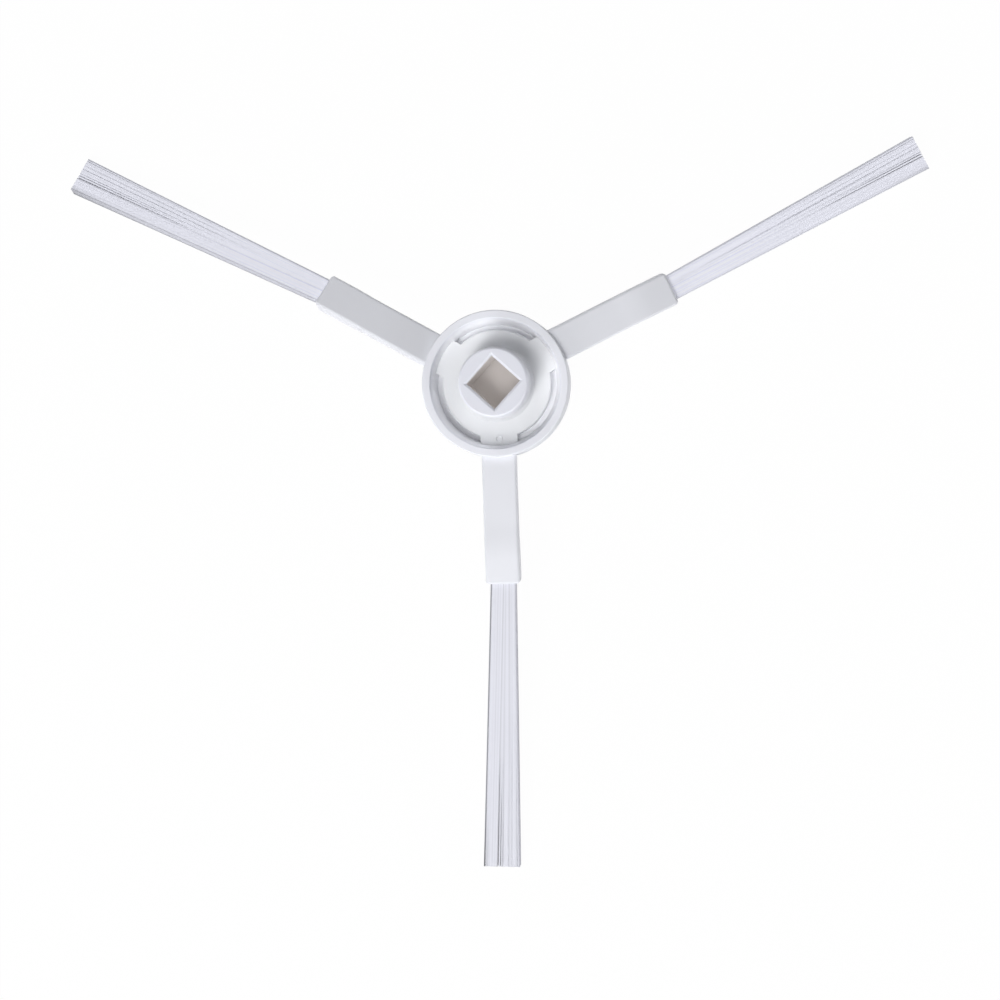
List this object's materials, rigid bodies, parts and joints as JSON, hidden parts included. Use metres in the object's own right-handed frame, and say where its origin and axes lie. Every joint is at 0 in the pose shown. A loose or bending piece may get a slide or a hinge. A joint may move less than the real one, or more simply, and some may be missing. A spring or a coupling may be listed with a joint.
{
  "type": "robot vacuum side brush",
  "caption": "Side brush of a robot vacuum: a square-drive hub in a soft ring, with drooping arms that end in fanned bristle tufts.",
  "frame": {"origin": "middle of the drive socket's mouth, on the end face of the boss", "axes": "+Z along the drive axis towards the robot, X and Y square to the flats of the socket"},
  "size_m": [0.1423, 0.1477, 0.0236],
  "materials": {
    "hub_plastic": "satin white",
    "arm_rubber": "matte white",
    "bristle_nylon": "satin bluish white"
  },
  "bodies": {
    "root": {"drive_hub": "hub_plastic", "arm_spider": "arm_rubber", "bristle_tuft_1": "bristle_nylon", "bristle_tuft_2": "bristle_nylon", "bristle_tuft_3": "bristle_nylon"}
  },
  "joints": []
}
